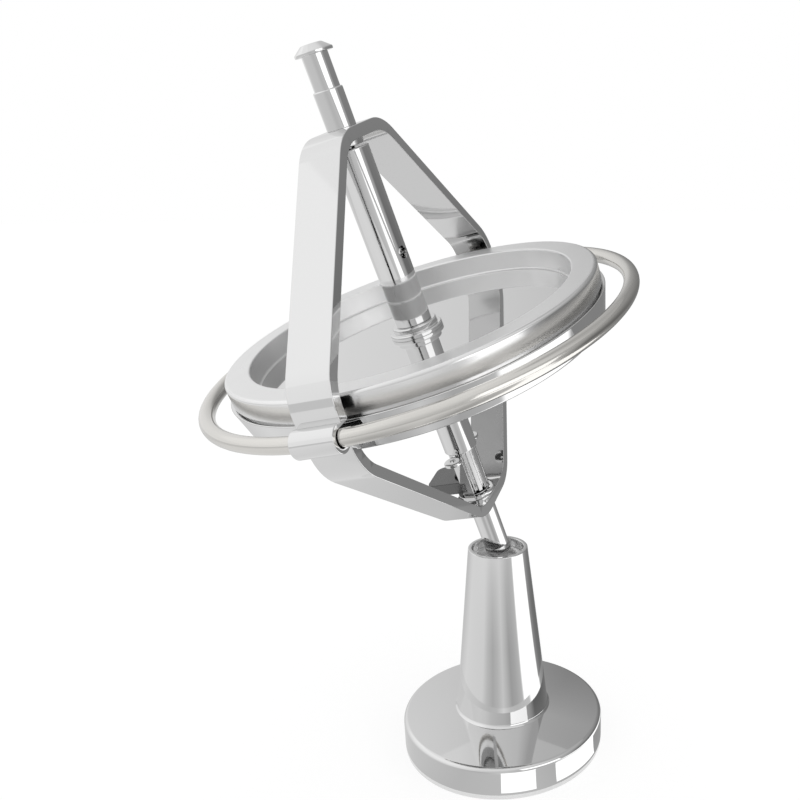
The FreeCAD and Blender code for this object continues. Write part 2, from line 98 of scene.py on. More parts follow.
def background_seen(tree):
    """1 where the background is looked at directly, in a mirror or through glass."""
    path = add(tree, "ShaderNodeLightPath")
    direct = add(tree, "ShaderNodeMath", [(0, path.outputs["Is Camera Ray"]),
                                          (1, path.outputs["Is Glossy Ray"])], operation="MAXIMUM")
    return add(tree, "ShaderNodeMath", [(0, direct.outputs[0]),
                                        (1, path.outputs["Is Transmission Ray"])], operation="MAXIMUM")


def backdrop(name, places, faces, material):
    """Mesh that belongs to the studio and not to the object."""
    mesh = bpy.data.meshes.new(name)
    mesh.from_pydata(places, [], faces)
    mesh.materials.append(material)
    item = bpy.data.objects.new(name, mesh)
    bpy.context.collection.objects.link(item)
    return item


ROOM_LIGHT = 0.75
world = bpy.data.worlds.new("white_room")
bpy.context.scene.world = world
world.use_nodes = True
tree = world.node_tree
tree.nodes.clear()
looked_at = background_seen(tree)
dim = add(tree, "ShaderNodeBackground", Color=linear("#FFFFFF"), Strength=ROOM_LIGHT)
white = add(tree, "ShaderNodeBackground", Color=linear("#FFFFFF"), Strength=1.0)
room = add(tree, "ShaderNodeMixShader", [(0, looked_at.outputs[0]), (1, dim.outputs[0]),
                                         (2, white.outputs[0])])
add(tree, "ShaderNodeOutputWorld", [("Surface", room.outputs[0])])

# The paper is matt and keeps the object's faint shadow. Its glow lifts it to the room's white,
# so that the floor has no edge against the room.
PAPER_GLOW = 0.66
PAPER_SHINE = 1.16
paper, tree = new_material("white_paper")
looked_at = background_seen(tree)
matt = add(tree, "ShaderNodeBsdfDiffuse", Color=linear("#FAFAFA"))
glow = add(tree, "ShaderNodeEmission", Color=linear("#FFFFFF"), Strength=PAPER_SHINE)
lifted = add(tree, "ShaderNodeMixShader", [(1, matt.outputs[0]), (2, glow.outputs[0])], Fac=PAPER_GLOW)
sheet = add(tree, "ShaderNodeMixShader", [(0, looked_at.outputs[0]), (1, matt.outputs[0]),
                                          (2, lifted.outputs[0])])
add(tree, "ShaderNodeOutputMaterial", [("Surface", sheet.outputs[0])])

FLOOR_HALF = 12.0
floor_corners = [(x * FLOOR_HALF, y * FLOOR_HALF, 0) for x, y in ((-1, -1), (1, -1), (1, 1), (-1, 1))]
backdrop("floor", floor_corners, [(0, 1, 2, 3)], paper)

# Studio lamps and screens
# Soft boxes give the chrome its white bands and grey cloth gives it its dark ones.
# Azimuth 0 looks from the camera past the object, and grows to the right. Lengths are metres.
STUDIO_CENTRE = Vector((0, 0, 0.055))


def towards(azimuth, elevation):
    azimuth, elevation = math.radians(azimuth), math.radians(elevation)
    return Vector((math.sin(azimuth) * math.cos(elevation), math.cos(azimuth) * math.cos(elevation),
                   math.sin(elevation)))


def soft_box(name, azimuth, elevation, distance, width, height, level):
    """Rectangular lamp; level is the brightness that it adds to the room's 1 in a mirror."""
    lamp = bpy.data.lights.new(name, "AREA")
    lamp.shape = "RECTANGLE"
    lamp.size = width
    lamp.size_y = height
    lamp.energy = level * width * height * math.pi
    holder = bpy.data.objects.new(name, lamp)
    bpy.context.collection.objects.link(holder)
    way = towards(azimuth, elevation)
    holder.matrix_world = (Matrix.Translation(STUDIO_CENTRE + way * distance)
                           @ way.to_track_quat("Z", "Y").to_matrix().to_4x4())
    holder.visible_camera = False


soft_box("left_soft_box", azimuth=-82, elevation=34, distance=0.9, width=1.2, height=0.9, level=0.06)
soft_box("front_right_soft_box", azimuth=143, elevation=15, distance=0.8, width=0.62, height=0.42,
         level=1.0)


def studio_cloth(name, *bands, blend_from=0.2, blend_to=0.8):
    """Cloth that only mirrors see: (azimuth, brightness) pairs, 1 as white as the room.

    A second band of pairs takes over from the first between the two heights.
    """
    brightest = 2.0
    material, tree = new_material(name)
    spot = add(tree, "ShaderNodeTexCoord")
    parts = add(tree, "ShaderNodeSeparateXYZ", [(0, spot.outputs["Object"])])
    azimuth = add(tree, "ShaderNodeMath", [(0, parts.outputs["X"]), (1, parts.outputs["Y"])],
                  operation="ARCTAN2")
    share = add(tree, "ShaderNodeMapRange", [("Value", azimuth.outputs[0])],
                From_Min=-math.pi, From_Max=math.pi)
    rise = add(tree, "ShaderNodeMapRange", [("Value", parts.outputs["Z"])],
               From_Min=blend_from, From_Max=blend_to)
    shine = None
    for levels in bands:
        ramp = add(tree, "ShaderNodeValToRGB", [("Fac", share.outputs[0])])
        ramp.color_ramp.interpolation = "LINEAR"
        stops = ramp.color_ramp.elements
        for number, (angle, level) in enumerate(levels):
            place = angle / 360 + 0.5
            stop = stops[number] if number < 2 else stops.new(place)
            stop.position = place
            stop.color = (level / brightest, level / brightest, level / brightest, 1)
        band = add(tree, "ShaderNodeEmission", [("Color", ramp.outputs[0])], Strength=brightest)
        if shine:
            band = add(tree, "ShaderNodeMixShader", [(0, rise.outputs[0]), (1, shine.outputs[0]),
                                                     (2, band.outputs[0])])
        shine = band
    add(tree, "ShaderNodeOutputMaterial", [("Surface", shine.outputs[0])])
    return material


def hang(name, places, faces, material):
    """Mesh of cloth that only mirrors see."""
    cloth = backdrop(name, places, faces, material)
    for ray in ("visible_camera", "visible_diffuse", "visible_shadow", "visible_transmission"):
        setattr(cloth, ray, False)


def screen(name, rings, material):
    """Cloth all round the object, through (distance, height) rings."""
    steps = 96
    places = []
    for distance, height in rings:
        for step in range(steps):
            way = towards(360 * step / steps, 0)
            places.append((way.x * distance, way.y * distance, height))
    faces = [(row * steps + step, row * steps + (step + 1) % steps,
              (row + 1) * steps + (step + 1) % steps, (row + 1) * steps + step)
             for row in range(len(rings) - 1) for step in range(steps)]
    hang(name, places, faces, material)


# The wall is white on the left, greyer behind the camera, and dark from behind the object round
# to its right, low down most of all. Upright chrome gets a light left and a dark right from it.
WALL_FOOT = (1.0, 0.0)
WALL_HEAD = (1.0, 1.05)
wall_cloth = studio_cloth("grey_wall_cloth", [
    (-180, 0.7), (-165, 0.74), (-150, 0.8), (-135, 0.94), (-120, 1.0), (-60, 0.96), (-30, 0.9), (-15, 0.8),
    (-3, 0.73), (6, 0.33), (13, 0.21), (30, 0.22), (45, 0.22), (58, 0.2), (66, 0.18), (98, 0.18), (108, 0.4),
    (116, 0.5), (150, 0.55), (165, 0.6), (180, 0.7)],
    [(-180, 0.85), (-150, 0.92), (-125, 1.04), (-50, 1.06), (-25, 0.9), (-8, 0.74), (8, 0.5), (30, 0.36),
     (60, 0.38), (100, 0.5), (150, 0.65), (180, 0.85)])
screen("wall", [WALL_FOOT, WALL_HEAD], wall_cloth)

# The ceiling is what level faces mirror: near white, and greyer over the far right.
CEILING_EDGE = (0.6, 1.3)
CEILING_MIDDLE = (0.001, 1.3)
ceiling_cloth = studio_cloth("ceiling_cloth", [
    (-180, 0.9), (-80, 0.98), (-25, 0.92), (-10, 0.84), (4, 0.62), (30, 0.5), (80, 0.56), (130, 0.84),
    (180, 0.9)])
screen("ceiling", [WALL_HEAD, CEILING_EDGE, CEILING_MIDDLE], ceiling_cloth)

# Table cloth in four rings, from the wall to the base. Leaning tubes and the frame's lower legs
# mirror the outer two, the pillar the second and third, and the base's side the inner two.
TABLE_RIM = (1.0, 0.003)
TABLE_MIDDLE = (0.25, 0.003)
TABLE_NEAR = (0.03, 0.001)
TABLE_BY_BASE = (0.022, 0.001)
TABLE_AT_BASE = (0.0168, 0.0009)
far_cloth = studio_cloth("far_table_cloth", [
    (-180, 0.62), (-165, 0.6), (-140, 0.7), (-90, 0.72), (-60, 0.76), (-30, 0.8), (-15, 0.76), (0, 0.6),
    (12, 0.28), (30, 0.25), (60, 0.28), (105, 0.28), (114, 0.5), (117, 1.5), (152, 1.5), (157, 0.7),
    (180, 0.62)])
screen("table_far_from_the_stand", [TABLE_MIDDLE, TABLE_RIM], far_cloth)

# This ring rises 2 mm from its inside to its outside, so its height stands in for distance: the
# second band takes over away from the stand, between the two heights given.
mid_cloth = studio_cloth("table_cloth_round_the_stand", [
    (-180, 0.74), (-168, 0.6), (-156, 0.52), (-142, 0.64), (-130, 0.82), (-75, 0.87), (-60, 0.79), (-45, 0.7),
    (-30, 0.64), (-15, 0.62), (0, 0.48), (13, 0.27), (30, 0.2), (45, 0.18), (62, 0.22), (76, 0.34), (80, 1.5),
    (130, 1.5), (134, 0.62), (148, 0.5), (160, 0.44), (170, 0.6), (180, 0.74)],
    [(-180, 0.84), (-165, 0.8), (-150, 0.8), (-135, 0.88), (-120, 0.9), (-75, 0.87), (-60, 0.79), (-45, 0.7),
     (-30, 0.64), (-15, 0.62), (0, 0.48), (13, 0.27), (30, 0.24), (45, 0.28), (62, 0.4), (76, 0.5), (80, 1.5),
     (130, 1.5), (134, 0.66), (150, 0.62), (165, 0.74), (180, 0.84)], blend_from=0.0013, blend_to=0.0022)
screen("table_round_the_stand", [TABLE_NEAR, TABLE_MIDDLE], mid_cloth)
near_cloth = studio_cloth("table_cloth_by_the_base", [
    (-180, 0.85), (-165, 0.62), (-150, 0.6), (-120, 0.72), (-75, 0.8), (-45, 0.68), (-15, 0.6), (10, 0.34),
    (45, 0.28), (62, 0.36), (73, 0.45), (79, 1.5), (112, 1.5), (118, 0.7), (150, 0.62), (165, 0.66),
    (180, 0.85)])
screen("table_by_the_base", [TABLE_BY_BASE, TABLE_NEAR], near_cloth)
foot_cloth = studio_cloth("table_cloth_at_the_base", [
    (-180, 0.66), (-150, 0.62), (-120, 0.7), (-90, 0.7), (-20, 0.6), (10, 0.38), (60, 0.34), (100, 0.36),
    (118, 0.4), (150, 0.58), (165, 0.64), (180, 0.66)])
screen("table_at_the_base", [TABLE_AT_BASE, TABLE_BY_BASE], foot_cloth)

# White cards lie at the foot of the base, where its side mirrors them as upright white bands.
# Each card is a strip of rays that leave the base the way that its side mirrors the camera.
CARD_LEVEL = 1.5
CARD_START = 0.017
CARD_LENGTH = 0.0085
CARD_HEIGHT = 0.0013
CARD_STEPS = 12
TO_CAMERA = 182
white_card = studio_cloth("white_card", [(-180, CARD_LEVEL), (180, CARD_LEVEL)])
for name, first, last in (("front_card", 184, 165), ("right_card", 153, 120)):
    places = []
    for step in range(CARD_STEPS + 1):
        facing = first + (last - first) * step / CARD_STEPS
        start = towards(facing, 0) * CARD_START
        finish = start + towards(2 * facing - TO_CAMERA, 0) * CARD_LENGTH
        places += [(start.x, start.y, CARD_HEIGHT), (finish.x, finish.y, CARD_HEIGHT)]
    faces = [(2 * step, 2 * step + 1, 2 * step + 3, 2 * step + 2) for step in range(CARD_STEPS)]
    hang(name, places, faces, white_card)

# Stand base
# Heavy round base, turned from steel bar, its top rising a little to the pillar and its edge
# rounded, polished and chrome plated. A stud holds the pillar on it. Sizes are millimetres.


def rounded(corners, closed=False):
    """Outline through (across, up, round) corners, with an arc at each corner that has a round."""
    steps = 8
    points = []
    for number, corner in enumerate(corners):
        here = Vector(corner[:2])
        radius = corner[2] if len(corner) > 2 else 0
        ends = number in (0, len(corners) - 1) and not closed
        if not radius or ends:
            points.append(here)
            continue
        back = (Vector(corners[number - 1][:2]) - here).normalized()
        ahead = (Vector(corners[(number + 1) % len(corners)][:2]) - here).normalized()
        half = back.angle(ahead) / 2
        centre = here + (back + ahead).normalized() * (radius / math.sin(half))
        start = here + back * (radius / math.tan(half)) - centre
        finish = here + ahead * (radius / math.tan(half)) - centre
        sweep = start.angle_signed(finish)
        for step in range(steps + 1):
            points.append(centre + Matrix.Rotation(-sweep * step / steps, 2) @ start)
    return points


def turned(outline, sides):
    """Lathe-turned solid from (radius, height) points."""
    on_axis = 1e-6
    bm = bmesh.new()
    rows = []
    for radius, height in outline:
        if radius < on_axis:
            rows.append([bm.verts.new((0, 0, height))] * sides)
            continue
        rows.append([bm.verts.new((radius * math.cos(2 * math.pi * side / sides),
                                   radius * math.sin(2 * math.pi * side / sides), height))
                     for side in range(sides)])
    for first, second in zip(rows, rows[1:]):
        for side in range(sides):
            after = (side + 1) % sides
            corners = list(dict.fromkeys((first[side], first[after], second[after], second[side])))
            if len(corners) > 2:
                bm.faces.new(corners)
    return bm


def shaped(name, bm, place, body, material, *node_names, slot="chrome"):
    """Mesh drawn in millimetres in its own frame, put in place, shaded, and tied to the CAD."""
    weld = 1e-7
    sharp_from = math.radians(35)
    bmesh.ops.scale(bm, vec=(MM, MM, MM), verts=bm.verts)
    bmesh.ops.remove_doubles(bm, verts=bm.verts, dist=weld)
    bmesh.ops.recalc_face_normals(bm, faces=bm.faces)
    for edge in bm.edges:
        edge.smooth = len(edge.link_faces) == 2 and edge.calc_face_angle() < sharp_from
    for face in bm.faces:
        face.smooth = True
    mesh = bpy.data.meshes.new(name)
    bm.to_mesh(mesh)
    bm.free()
    mesh.transform(place)
    mesh.materials.append(material)
    piece = bpy.data.objects.new(name, mesh)
    bpy.context.collection.objects.link(piece)
    level = piece.modifiers.new("even_faces", "WEIGHTED_NORMAL")
    level.keep_sharp = True
    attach(piece, body)
    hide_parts(*node_names)
    return piece


# Marks left by the lathe are about 0.1 mm apart, too fine to show, so each finish draws them
# as rings 0.3 to 0.8 mm apart. Between them the polish comes out a little uneven, in clouds.
CLOUD_WIDTH = 4
MARK_HEIGHT = 0.01
UNEVEN_SHARE = 0.4
WAVE_REPEAT = 2 * math.pi / 20


def chrome_plate(name, colour, roughness, marks, depth, place, metallic=1.0):
    """Worked metal: marks is the spacing in mm of the turning marks about the place's Z axis."""
    material, tree = new_material(name)
    world_spot = add(tree, "ShaderNodeTexCoord")
    spot = add(tree, "ShaderNodeMapping", [("Vector", world_spot.outputs["Object"])],
               vector_type="TEXTURE", Location=place.translation, Rotation=place.to_euler())
    cloud = add(tree, "ShaderNodeTexNoise", [("Vector", spot.outputs[0])],
                Scale=1 / (CLOUD_WIDTH * MM), Detail=3.0)
    gloss = add(tree, "ShaderNodeMapRange", [("Value", cloud.outputs[0])],
                To_Min=roughness * (1 - UNEVEN_SHARE), To_Max=roughness * (1 + UNEVEN_SHARE))
    rings = add(tree, "ShaderNodeTexWave", [("Vector", spot.outputs[0])], wave_type="RINGS",
                rings_direction="Z", Scale=WAVE_REPEAT / (marks * MM), Distortion=0.6, Detail=1.0)
    ripple = add(tree, "ShaderNodeBump", [("Height", rings.outputs["Fac"])],
                 Strength=depth, Distance=MARK_HEIGHT * MM)
    shader = add(tree, "ShaderNodeBsdfPrincipled",
                 [("Roughness", gloss.outputs[0]), ("Normal", ripple.outputs[0])],
                 Base_Color=linear(colour), Metallic=metallic)
    add(tree, "ShaderNodeOutputMaterial", [("Surface", shader.outputs[0])])
    return material


BASE_RADIUS = 17.0
BASE_HEIGHT = 5.55
BASE_FOOT_ROUND = 0.3
BASE_EDGE_ROUND = 0.8
PILLAR_FOOT = 6.65
FOOT_RADIUS = 8.1
STUD_RADIUS = 1.5
STUD_HOLE_FLOOR = 2.95
STAND = Matrix.Identity(4)
base = turned(rounded([
    (0, 0),
    (BASE_RADIUS, 0, BASE_FOOT_ROUND),
    (BASE_RADIUS, BASE_HEIGHT, BASE_EDGE_ROUND),
    (FOOT_RADIUS, PILLAR_FOOT),
    (STUD_RADIUS, PILLAR_FOOT),
    (STUD_RADIUS, STUD_HOLE_FLOOR),
    (0, STUD_HOLE_FLOOR),
]), sides=192)
# Chrome plate over buffed steel: a clear mirror, with turning marks that hardly show.
stand_chrome = chrome_plate("chrome_plate_on_turned_steel", "#DEDEDE", 0.04, 0.5, 0.01, STAND)
shaped("round_base", base, STAND, "stand", stand_chrome, "stand_base")

# Stand pillar
# Conical pillar, turned from steel bar with a small flare at its foot and a shallow cup in its
# top, polished and chrome plated like the base. The stud inside holds it down on the base.
PILLAR_TOP = 35.6
PILLAR_TOP_RADIUS = 4.85
CONE_FOOT_RADIUS = 7.75
FLARE_HEIGHT = 0.35
FLARE_ROUND = 0.6
CUP_RADIUS = 4.2
CUP_FLOOR = 33.45
CUP_ROUND = 0.8
LIP_ROUND = 0.12
HAIR = 0.01
pillar = turned(rounded([
    (STUD_RADIUS, PILLAR_FOOT),
    (FOOT_RADIUS, PILLAR_FOOT),
    (CONE_FOOT_RADIUS, PILLAR_FOOT + FLARE_HEIGHT, FLARE_ROUND),
    (PILLAR_TOP_RADIUS, PILLAR_TOP, LIP_ROUND),
    (CUP_RADIUS, PILLAR_TOP, LIP_ROUND),
    (CUP_RADIUS, CUP_FLOOR, CUP_ROUND),
    (0, CUP_FLOOR),
]), sides=160)
pillar_piece = shaped("conical_pillar", pillar, STAND, "stand", stand_chrome, "stand_pillar")


def second_finish(piece, material, place, chosen):
    """Material for the faces that chosen picks by centre, in mm, and normal, in the place's frame."""
    piece.data.materials.append(material)
    inverse = place.inverted()
    for face in piece.data.polygons:
        if chosen(inverse @ face.center / MM, inverse.to_3x3() @ face.normal):
            face.material_index = 1


# The cup is rubbed dull and filmed with oil where the ball runs: an even grey, no clear mirror.
rubbed_cup = chrome_plate("turned_cup_dulled_by_the_ball", "#DCDCDC", 0.3, 0.3, 0.05, STAND, metallic=0.7)
second_finish(pillar_piece, rubbed_cup, STAND, lambda spot, normal: (
    spot.z > CUP_FLOOR - HAIR and spot.xy.length < CUP_RADIUS - HAIR))

# Stand stud
# Short stud cut from plain steel bar and pressed into both base and pillar. Nothing of it shows,
# so the CAD solid stays and only takes its finish.

# Ground steel without plate is a little darker than chrome, and blurs what it mirrors.
plain_steel = chrome_plate("ground_plain_steel", "#D6D6D6", 0.18, 0.4, 0.05, STAND)
nodes["stand_stud"].data.materials.clear()
nodes["stand_stud"].data.materials.append(plain_steel)

# Tip ball
# Hardened and ground steel ball that stands in the pillar's cup and carries the foot stub.
# GYRO is the gyroscope's own frame: Z is its axle, and the wire ring lies round its origin.
PIVOT_HEIGHT = 35.6
PIVOT_TO_RING = 37.83
LEAN = 18.68
HEADING = 209.74
FRAME_TURN = -140.9
BALL_RADIUS = 2.1
BALL_STEP = 6
spin = (Matrix.Rotation(math.radians(HEADING), 4, "Z") @ Matrix.Rotation(math.radians(LEAN), 4, "Y")
        @ Matrix.Rotation(math.radians(FRAME_TURN), 4, "Z"))
ring_centre = Vector((0, 0, PIVOT_HEIGHT)) + spin @ Vector((0, 0, PIVOT_TO_RING))
GYRO = Matrix.Translation(ring_centre * MM) @ spin
ball_arc = [(BALL_RADIUS * math.cos(math.radians(angle)),
             -PIVOT_TO_RING + BALL_RADIUS * math.sin(math.radians(angle)))
            for angle in range(-90, 91, BALL_STEP)]
ball_arc[0] = (0, -PIVOT_TO_RING - BALL_RADIUS)
ball_arc[-1] = (0, -PIVOT_TO_RING + BALL_RADIUS)
shaped("steel_tip_ball", turned(ball_arc, sides=64), GYRO, "tip", plain_steel, "tip_ball",
       slot="plain_steel")

# Foot stub
# Round steel stub, turned and chrome plated, with a hollow at its foot that seats the ball. A
# thinner tenon at its top is riveted through the frame's lower apex.
STUB_RADIUS = 2.0
STUB_TOP = -28.65
STUB_TOP_ROUND = 0.15
TENON_RADIUS = 1.3
TENON_TOP = -27.05
TENON_ROUND = 0.1
SEAT_RADIUS = 2.15
SEAT_STEPS = 8
seat_end = math.acos(STUB_RADIUS / SEAT_RADIUS)
seat_arc = []
for step in range(SEAT_STEPS + 1):
    angle = math.pi / 2 + (seat_end - math.pi / 2) * step / SEAT_STEPS
    seat_arc.append((SEAT_RADIUS * math.cos(angle) if step else 0,
                     -PIVOT_TO_RING + SEAT_RADIUS * math.sin(angle)))
stub = turned(seat_arc + rounded([
    (STUB_RADIUS, seat_arc[-1][1] + HAIR),
    (STUB_RADIUS, STUB_TOP, STUB_TOP_ROUND),
    (TENON_RADIUS, STUB_TOP),
    (TENON_RADIUS, TENON_TOP, TENON_ROUND),
    (0, TENON_TOP),
]), sides=96)
# The same clear chrome mirror as on the stand, with closer turning marks about the axle.
gyro_chrome = chrome_plate("chrome_plate_on_turned_parts", "#DEDEDE", 0.04, 0.35, 0.01, GYRO)
shaped("foot_stub_rod", stub, GYRO, "foot", gyro_chrome, "foot_stub")

# Frame band
# One flat steel strip bent to a loop, with a bulge on each side that clamps the ring's wire.
# It is polished and chrome plated after bending. The clamps' inner walls get painted shade, near black, for
# the dark gap between the strip and the rim.


def cut_from_strip(loops, low, high, edge_round):
    """Solid between two heights with the given outlines, the first outside, its rims rounded."""
    steps = 4
    least_stretch = 0.5
    bm = bmesh.new()
    stations = []
    for step in range(steps + 1):
        angle = math.pi / 2 * (1 - step / steps)
        inset = edge_round * (1 - math.cos(angle))
        rise = edge_round * (1 - math.sin(angle))
        stations.append((inset, low + rise))
    stations += [(inset, low + high - height) for inset, height in reversed(stations)]
    caps = ([], [])
    for number, loop in enumerate(loops):
        area = sum(a.x * b.y - b.x * a.y for a, b in zip(loop, loop[1:] + loop[:1]))
        side = 1 if (area > 0) == (number == 0) else -1
        rows = []
        for inset, height in stations:
            row = []
            for place, point in enumerate(loop):
                before = (point - loop[place - 1]).normalized()
                after = (loop[(place + 1) % len(loop)] - point).normalized()
                inward = Vector((-before.y - after.y, before.x + after.x)).normalized() * side
                stretch = max(least_stretch, abs(inward.dot(Vector((-before.y, before.x)))))
                spot = point + inward * (inset / stretch)
                row.append(bm.verts.new((spot.x, spot.y, height)))
            rows.append(row)
        for first, second in zip(rows, rows[1:]):
            for place in range(len(loop)):
                after = (place + 1) % len(loop)
                bm.faces.new((first[place], first[after], second[after], second[place]))
        for cap, row in zip(caps, (rows[0], rows[-1])):
            cap.extend(bm.edges.get((row[place], row[(place + 1) % len(row)])) for place in range(len(row)))
    for cap, way in zip(caps, (-1, 1)):
        bmesh.ops.triangle_fill(bm, use_beauty=True, edges=cap, normal=(0, 0, way))
    return bm


def mirrored(upper):
    """Closed outline from its upper right quarter, given from the top to the side."""
    right = upper + [(corner[0], -corner[1], *corner[2:]) for corner in reversed(upper)]
    return right + [(-corner[0], *corner[1:]) for corner in reversed(right)]


BAND_WIDTH = 5.95
BAND_THICKNESS = 1.6
BAND_EDGE_ROUND = 0.1
FRAME_HALF_HEIGHT = 28.6
FRAME_HALF_SPAN = 30.0
APEX_HALF_WIDTH = 6.0
APEX_FLAT = 2.95
WAIST_HALF_HEIGHT = 5.0
WAIST_ROUND = 7.5
RING_RADIUS = 31.0
BULGE = 1.78
BULGE_STEPS = 12
SEAT = 1.1
SEAT_LIP_ROUND = 0.25
SEAT_WALL_STEPS = 12
slope = math.atan((FRAME_HALF_HEIGHT - WAIST_HALF_HEIGHT) / (FRAME_HALF_SPAN - APEX_HALF_WIDTH))
apex_round = (APEX_HALF_WIDTH - APEX_FLAT) / math.tan(slope / 2)
bulge_meets = math.sqrt(BULGE ** 2 - (RING_RADIUS - FRAME_HALF_SPAN) ** 2)
bulge_start = math.atan2(bulge_meets, FRAME_HALF_SPAN - RING_RADIUS)
bulge = []
for step in range(BULGE_STEPS):
    angle = bulge_start * (1 - step / BULGE_STEPS)
    bulge.append((RING_RADIUS + BULGE * math.cos(angle), BULGE * math.sin(angle)))
outside = rounded(mirrored([
    (APEX_HALF_WIDTH, FRAME_HALF_HEIGHT, apex_round),
    (FRAME_HALF_SPAN, WAIST_HALF_HEIGHT, WAIST_ROUND),
    *bulge,
]), closed=True)
inner_apex = APEX_HALF_WIDTH - BAND_THICKNESS * math.tan(slope / 2)
inner_waist = WAIST_HALF_HEIGHT - BAND_THICKNESS * (1 - math.sin(slope)) / math.cos(slope)
inner_side = FRAME_HALF_SPAN - BAND_THICKNESS
seat_wall = []
for step in range(SEAT_WALL_STEPS):
    angle = math.pi / 2 * step / SEAT_WALL_STEPS
    seat_wall.append((RING_RADIUS + SEAT * math.sin(angle), SEAT * math.cos(angle)))
inside = rounded(mirrored([
    (inner_apex, FRAME_HALF_HEIGHT - BAND_THICKNESS, apex_round - BAND_THICKNESS),
    (inner_side, inner_waist, WAIST_ROUND - BAND_THICKNESS),
    (inner_side, SEAT, SEAT_LIP_ROUND),
    *seat_wall,
]), closed=True)
band = cut_from_strip([outside, inside], -BAND_WIDTH / 2, BAND_WIDTH / 2, BAND_EDGE_ROUND)
bmesh.ops.rotate(band, matrix=Matrix.Rotation(math.radians(90), 3, "X"), verts=band.verts)
# Chrome over rolled strip: a clear mirror, a touch softer than on the turned parts.
strip_chrome = chrome_plate("chrome_plate_on_bent_strip", "#DEDEDE", 0.05, 0.8, 0.01, GYRO)
band_piece = shaped("bent_strip_frame", band, GYRO, "frame", strip_chrome, "frame_band")

WALL_REACH = 0.15
SEAT_REACH = 0.2
FACES_INWARD = 0.7
TURNED_INWARD = 0.05


def in_the_clamp(spot, normal):
    inward = normal.x * math.copysign(1, -spot.x)
    inner_wall = abs(abs(spot.x) - inner_side) < WALL_REACH and inward > FACES_INWARD
    wire_seat = (math.hypot(abs(spot.x) - RING_RADIUS, spot.z) < SEAT + SEAT_REACH
                 and inward > TURNED_INWARD)
    return inner_wall or wire_seat


# Painted shade: the clamps' inner walls and wire seats are coloured nearly black, with no mirror, to stand in
# for the dark gap between the strip and the rim.
clamp_painted_shade = chrome_plate("painted_shade_in_the_clamps", "#2E2E2E", 0.3, 0.8, 0.05, GYRO)
second_finish(band_piece, clamp_painted_shade, GYRO, in_the_clamp)

# Wire ring
# Round steel wire, drawn through a die and bent to a ring, its ends butted together. Both of
# the frame's clamps are closed on it.
WIRE_RADIUS = 1.08
WIRE_STEPS = 32
wire_outline = []
for step in range(WIRE_STEPS + 1):
    angle = 2 * math.pi * step / WIRE_STEPS
    wire_outline.append((RING_RADIUS + WIRE_RADIUS * math.cos(angle), WIRE_RADIUS * math.sin(angle)))
wire = turned(wire_outline, sides=256)
# The die leaves the wire satin: a warm light grey with soft highlights that run along it.
satin_wire = chrome_plate("satin_drawn_steel_wire", "#D8D6D2", 0.14, 0.3, 0.05, GYRO)
shaped("wire_guard_ring", wire, GYRO, "frame", satin_wire, "wire_ring", slot="ring_wire")

# Top boss and pin
# Turned steel tube standing on the upper apex, and the pin pressed through it and the strip,
# with a bevelled button head. Both are polished and chrome plated.
BOSS_BORE = 1.69
BOSS_RADIUS = 1.93
BOSS_TOP = 33.3
BOSS_TOP_ROUND = 0.2
BOSS_BREAK = 0.05
boss = turned(rounded([
    (BOSS_BORE, FRAME_HALF_HEIGHT),
    (BOSS_RADIUS, FRAME_HALF_HEIGHT, BOSS_BREAK),
    (BOSS_RADIUS, BOSS_TOP, BOSS_TOP_ROUND),
    (BOSS_BORE, BOSS_TOP, BOSS_BREAK),
    (BOSS_BORE, FRAME_HALF_HEIGHT),
]), sides=96)
shaped("top_boss_tube", boss, GYRO, "frame", gyro_chrome, "top_boss")
APEX_INSIDE = 27.0
PIN_RADIUS = 1.68
PIN_FOOT_ROUND = 0.1
BUTTON_FOOT = 37.4
BUTTON_FILLET = 0.05
BUTTON_RADIUS = 2.45
BUTTON_UNDER_ROUND = 0.1
BEVEL_FOOT = 37.75
BEVEL_ROUND = 0.15
BUTTON_TOP = 38.55
BUTTON_TOP_RADIUS = 1.35
BUTTON_TOP_ROUND = 0.3
pin = turned(rounded([
    (0, APEX_INSIDE),
    (PIN_RADIUS, APEX_INSIDE, PIN_FOOT_ROUND),
    (PIN_RADIUS, BUTTON_FOOT, BUTTON_FILLET),
    (BUTTON_RADIUS, BUTTON_FOOT, BUTTON_UNDER_ROUND),
    (BUTTON_RADIUS, BEVEL_FOOT, BEVEL_ROUND),
    (BUTTON_TOP_RADIUS, BUTTON_TOP, BUTTON_TOP_ROUND),
    (0, BUTTON_TOP),
]), sides=96)
shaped("button_headed_pin", pin, GYRO, "frame", gyro_chrome, "top_pin")

# Bushes
# Small hardened steel bushes, ground and pressed in place inside both apexes. Each has a conical
# seat that carries one of the axle's points.
BUSH_RADIUS = 2.1
BUSH_FACE = 26.3
BUSH_ROUND = 0.1
POINT_SEAT_RADIUS = 0.6
POINT_SEAT_END = 26.9
for word, way in (("upper", 1), ("lower", -1)):
    bush = turned(rounded([
        (0, way * POINT_SEAT_END),
        (POINT_SEAT_RADIUS, way * BUSH_FACE),
        (BUSH_RADIUS, way * BUSH_FACE, BUSH_ROUND),
        (BUSH_RADIUS, way * APEX_INSIDE),
        (0, way * APEX_INSIDE),
    ]), sides=64)
    shaped(word + "_point_bush", bush, GYRO, "frame", plain_steel, word + "_bush", slot="plain_steel")

# Strip guide
# Foot ring round the lower bush and two thin posts, each bent out to an ear with a hole, pressed
# from chromed sheet. A tongue of spring steel beside the pinion is for the strip to slide on.


def circle(across, up, radius, steps):
    return [Vector((across + radius * math.cos(2 * math.pi * step / steps),
                    up + radius * math.sin(2 * math.pi * step / steps))) for step in range(steps)]


